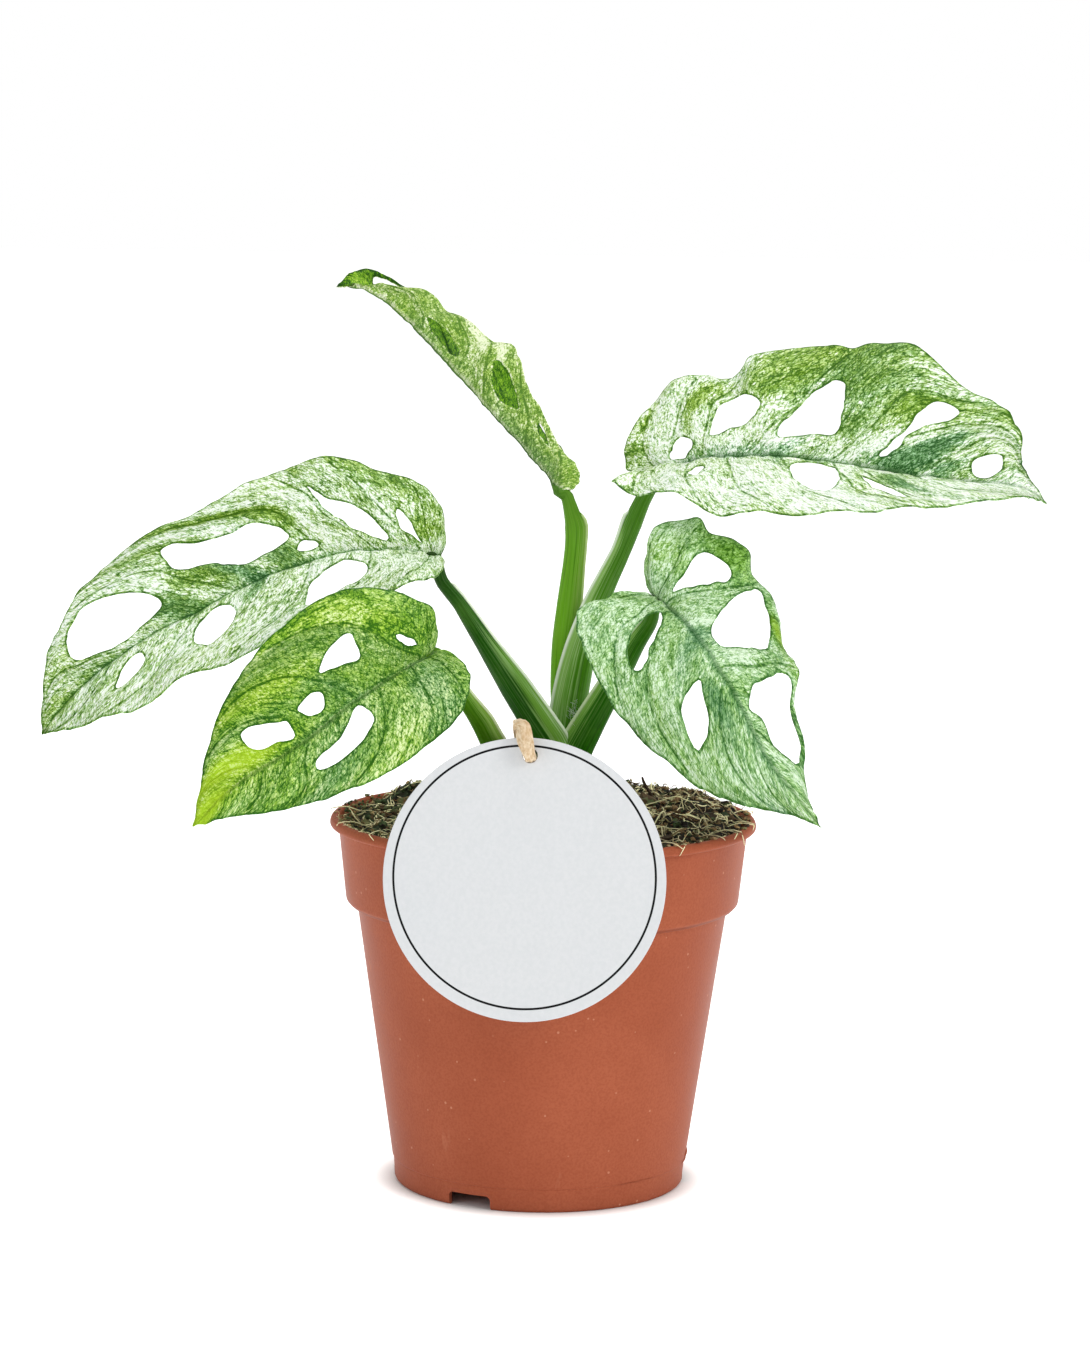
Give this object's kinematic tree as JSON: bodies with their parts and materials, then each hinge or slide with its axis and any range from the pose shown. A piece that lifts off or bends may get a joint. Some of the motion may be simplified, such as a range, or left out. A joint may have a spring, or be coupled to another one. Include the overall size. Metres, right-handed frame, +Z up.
{
  "type": "potted mint swiss cheese vine",
  "caption": "Young potted houseplant with holed, white-marbled heart-shaped leaves in a round terracotta-coloured nursery pot, with a blank round hang tag.",
  "frame": {"origin": "on the ground at the pot's axis, which is also the bottom centre of the whole plant's box", "axes": "+Z up, -Y towards the side with the hang tag, +X along the leaves' longest spread"},
  "size_m": [0.2764, 0.1328, 0.2544],
  "materials": {
    "pot": "terracotta-coloured moulded plastic, satin, lightly scratched",
    "soil": "dark peat with straw-coloured coir fibres, rough",
    "petiole": "smooth waxy green stalk with pale stripes",
    "leaf_mint": "satin leaf, mostly white with mint and green marbling",
    "leaf_lime": "satin leaf, green marbling with a lime margin",
    "leaf_green": "satin leaf, mid green with pale flecks",
    "leaf_young": "satin young leaf, bright green and cream",
    "card": "smooth matt white card with one thin black ring",
    "raffia": "dry fibrous raffia, matt"
  },
  "bodies": {
    "root": {"pot": "pot", "soil": "soil", "main_stem": "petiole", "leaf_far_left": "leaf_mint", "petiole_far_left": "petiole", "leaf_low_left": "leaf_lime", "petiole_low_left": "petiole", "leaf_top": "leaf_young", "petiole_top": "petiole", "leaf_right": "leaf_mint", "petiole_right": "petiole", "leaf_low_right": "leaf_green", "petiole_low_right": "petiole", "tag": "card", "tag_tie": "raffia"}
  },
  "joints": []
}
